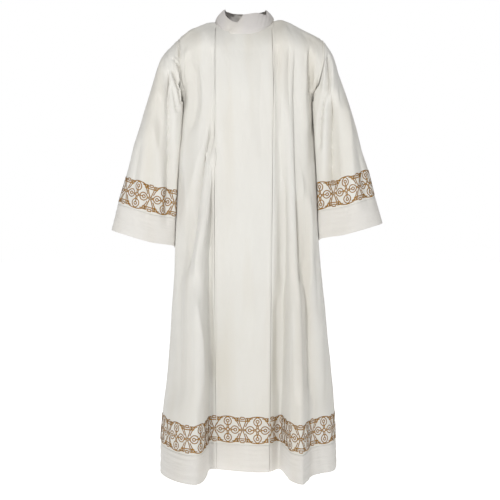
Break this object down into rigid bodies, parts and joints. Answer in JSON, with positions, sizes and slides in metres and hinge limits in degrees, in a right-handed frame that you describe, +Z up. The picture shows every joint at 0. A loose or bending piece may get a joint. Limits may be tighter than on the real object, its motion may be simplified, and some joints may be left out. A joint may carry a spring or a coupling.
{
  "type": "alb robe",
  "caption": "Long white cloth vestment, filled out: stand collar, wide sleeves, straight front panel over soft folds, open at neck, cuffs and hem",
  "frame": {"origin": "Level with the base of the neck at the sides and midway between front and back of the shoulders, where a figure or a hanger carries the robe", "axes": "+Z up, from hem to collar. -Y is the front, with the centre panel. +X is the viewer's right, the wearer's left"},
  "size_m": [0.8796, 0.3965, 1.4875],
  "materials": {
    "body_cloth": "plain woven cotton blend, off-white",
    "sleeve_cloth": "plain woven cotton blend, off-white",
    "collar_cloth": "doubled plain woven cotton blend"
  },
  "bodies": {
    "root": {"front_centre_panel": "body_cloth", "front_side_left": "body_cloth", "front_side_right": "body_cloth", "back_panel": "body_cloth", "sleeve_left": "sleeve_cloth", "sleeve_right": "sleeve_cloth", "collar_band": "collar_cloth"}
  },
  "joints": []
}
